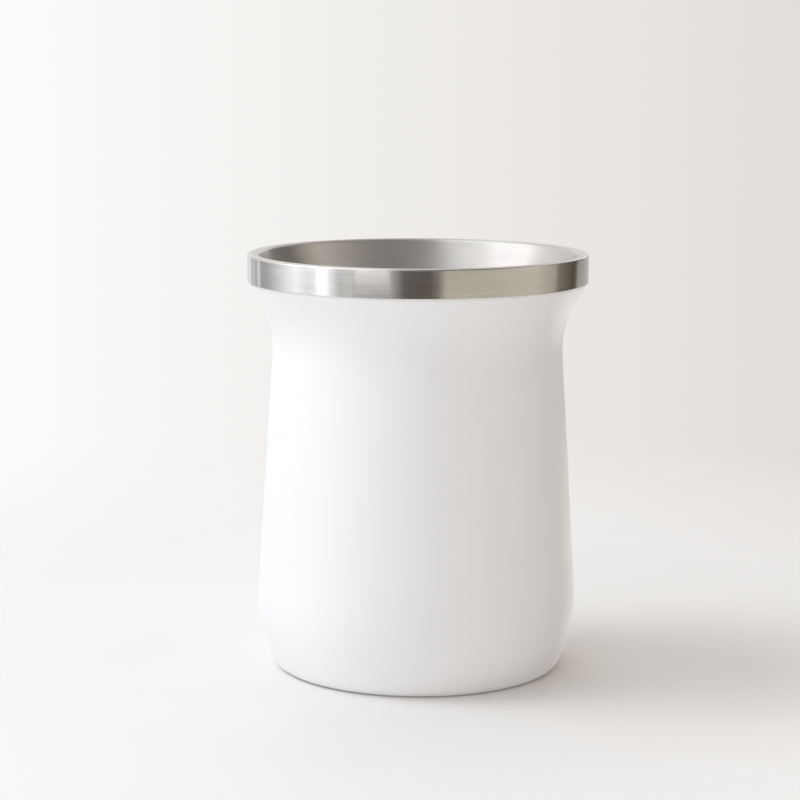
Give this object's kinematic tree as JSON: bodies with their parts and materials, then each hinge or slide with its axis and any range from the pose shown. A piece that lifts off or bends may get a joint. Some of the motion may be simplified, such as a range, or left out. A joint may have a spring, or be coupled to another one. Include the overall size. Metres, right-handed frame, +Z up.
{
  "type": "mate cup",
  "caption": "Insulated steel mate cup with a white powder-coated body, a flared neck, and a bare brushed steel rim band and inside, for drinking hot mate.",
  "frame": {"origin": "centre of the foot ring, on the surface that the cup stands on", "axes": "+Z up along the cup's axis, from the foot to the mouth; +X and +Y are level"},
  "size_m": [0.086, 0.086, 0.1058],
  "materials": {
    "white_powder_coat": "matte white powder coat with a very fine grain",
    "brushed_liner_steel": "bare stainless steel, finely brushed round the rim band and satin inside",
    "closure_steel": "bare stainless steel as drawn",
    "solder_glass": "opaque brown solder glass",
    "getter_metal": "sintered grey metal tablet",
    "base_steel": "bare stainless steel disc with a turned satin finish"
  },
  "bodies": {
    "root": {"outer_shell": "white_powder_coat", "inner_liner": "brushed_liner_steel", "vacuum_closure": "closure_steel", "port_seal": "solder_glass", "getter": "getter_metal", "base_cover": "base_steel"}
  },
  "joints": []
}
